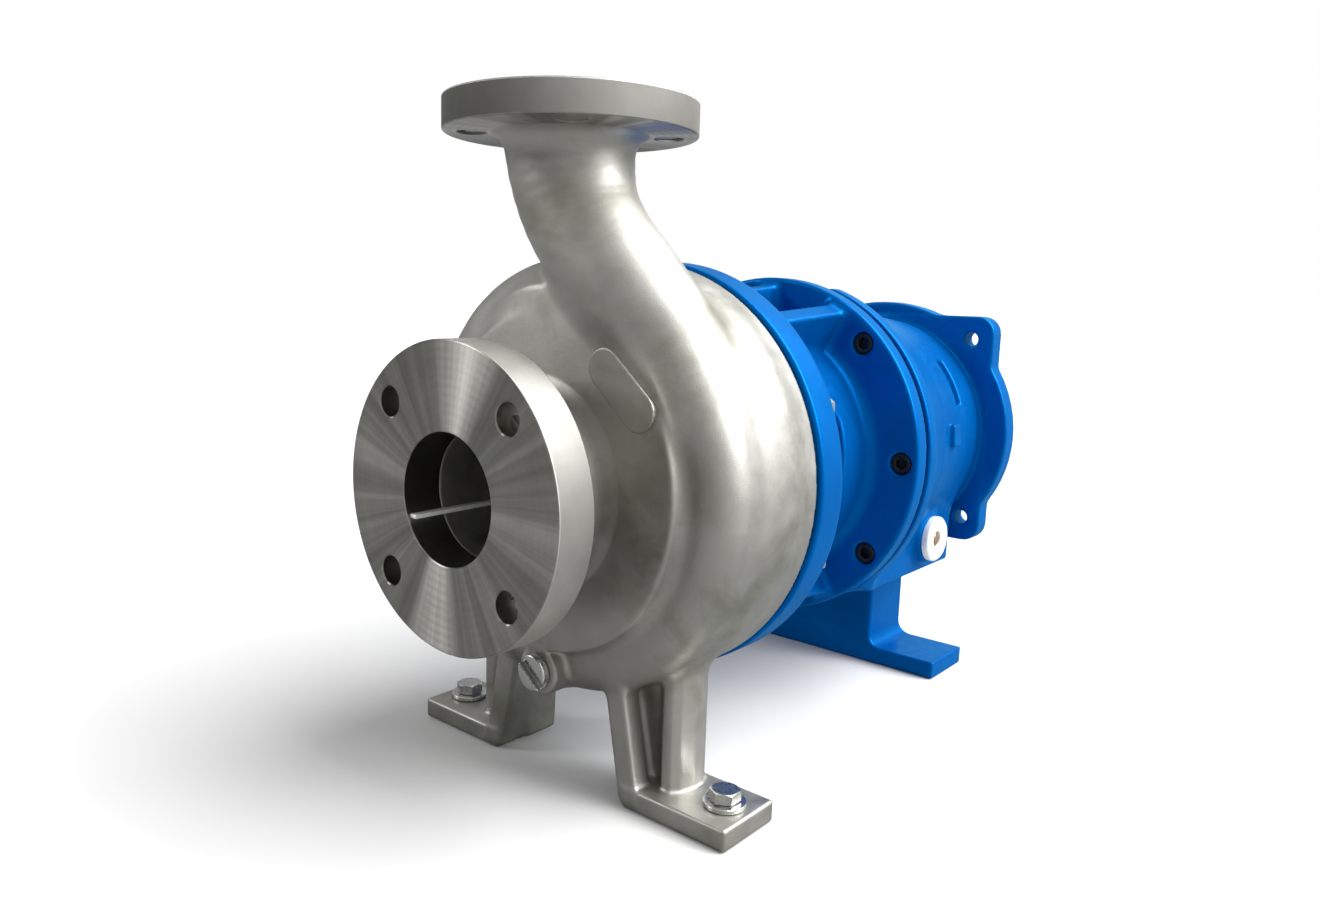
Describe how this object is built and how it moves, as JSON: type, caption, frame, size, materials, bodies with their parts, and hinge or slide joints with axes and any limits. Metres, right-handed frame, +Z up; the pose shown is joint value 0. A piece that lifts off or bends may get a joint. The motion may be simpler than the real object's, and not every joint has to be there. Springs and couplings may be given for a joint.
{
  "type": "centrifugal water pump",
  "caption": "End-suction centrifugal water pump: cast volute casing with two flanges and feet, ribbed adapter, bearing housing and flanged motor end.",
  "frame": {"origin": "centre of the bounding box at the underside of the feet", "axes": "+Z up; -Y out of the suction flange; +Y along the shaft to the motor end; +X to the right seen from the suction side"},
  "size_m": [0.293, 0.561, 0.4509],
  "materials": {
    "cast_stainless": "bead-blasted casting, satin",
    "machined_stainless": "turned, bright",
    "blue_paint": "glossy enamel over casting",
    "black_rubber": "matt",
    "zinc_steel": "plated, semi-bright",
    "black_oxide": "blackened socket screws",
    "bearing_steel": "ground",
    "seal_carbon": "lapped carbon",
    "sight_glass": "clear"
  },
  "bodies": {
    "stator": {"volute_casing": "cast_stainless", "casing_drain_plug": "zinc_steel", "casing_gasket": "black_rubber", "casing_cover": "cast_stainless", "frame_adapter": "blue_paint", "casing_bolt_1": "zinc_steel", "casing_bolt_2": "zinc_steel", "casing_bolt_3": "zinc_steel", "casing_bolt_4": "zinc_steel", "casing_bolt_5": "zinc_steel", "casing_bolt_6": "zinc_steel", "casing_bolt_7": "zinc_steel", "casing_bolt_8": "zinc_steel", "adapter_screw_1": "black_oxide", "adapter_screw_2": "black_oxide", "adapter_screw_3": "black_oxide", "adapter_screw_4": "black_oxide", "adapter_screw_5": "black_oxide", "adapter_screw_6": "black_oxide", "adapter_screw_7": "black_oxide", "adapter_screw_8": "black_oxide", "joint_ring": "black_rubber", "bearing_housing": "blue_paint", "oil_fill_plug": "zinc_steel", "oil_drain_plug": "zinc_steel", "sight_glass_body": "zinc_steel", "sight_glass_lens": "sight_glass", "support_foot": "blue_paint", "foot_screw_left": "zinc_steel", "foot_screw_right": "zinc_steel", "foot_washer_left": "zinc_steel", "foot_washer_right": "zinc_steel", "foot_bolt_left": "zinc_steel", "foot_bolt_right": "zinc_steel", "front_outer_race": "bearing_steel", "rear_outer_race": "bearing_steel", "front_bearing_cover": "machined_stainless", "front_lip_seal": "black_rubber", "rear_bearing_cover": "machined_stainless", "rear_lip_seal": "black_rubber", "retaining_ring": "bearing_steel", "seal_seat": "machined_stainless", "gland_plate": "machined_stainless", "gland_bolt_1": "zinc_steel", "gland_bolt_2": "zinc_steel", "gland_bolt_3": "zinc_steel", "gland_bolt_4": "zinc_steel"},
    "rotor": {"shaft": "machined_stainless", "coupling_key": "bearing_steel", "coupling_hub": "zinc_steel", "oil_flinger": "machined_stainless", "impeller": "cast_stainless", "shaft_sleeve": "machined_stainless", "seal_collar": "machined_stainless", "seal_spring": "bearing_steel", "seal_ring": "seal_carbon", "front_inner_race": "bearing_steel", "rear_inner_race": "bearing_steel"},
    "front_cage": {"front_ball_set": "bearing_steel"},
    "rear_cage": {"rear_ball_set": "bearing_steel"}
  },
  "joints": [
    {"name": "shaft_spin", "type": "hinge", "parent": "stator", "child": "rotor", "pos_m": [0, 0, 0.20955], "axis": [0, -1, 0], "continuous": true},
    {"name": "front_cage_spin", "type": "hinge", "parent": "stator", "child": "front_cage", "pos_m": [0, 0.103, 0.20955], "axis": [0, -1, 0], "continuous": true},
    {"name": "rear_cage_spin", "type": "hinge", "parent": "stator", "child": "rear_cage", "pos_m": [0, 0.205, 0.20955], "axis": [0, -1, 0], "continuous": true}
  ],
  "couplings": [
    {"joint": "front_cage_spin", "follows": "shaft_spin", "ratio": 0.4},
    {"joint": "rear_cage_spin", "follows": "shaft_spin", "ratio": 0.4}
  ]
}
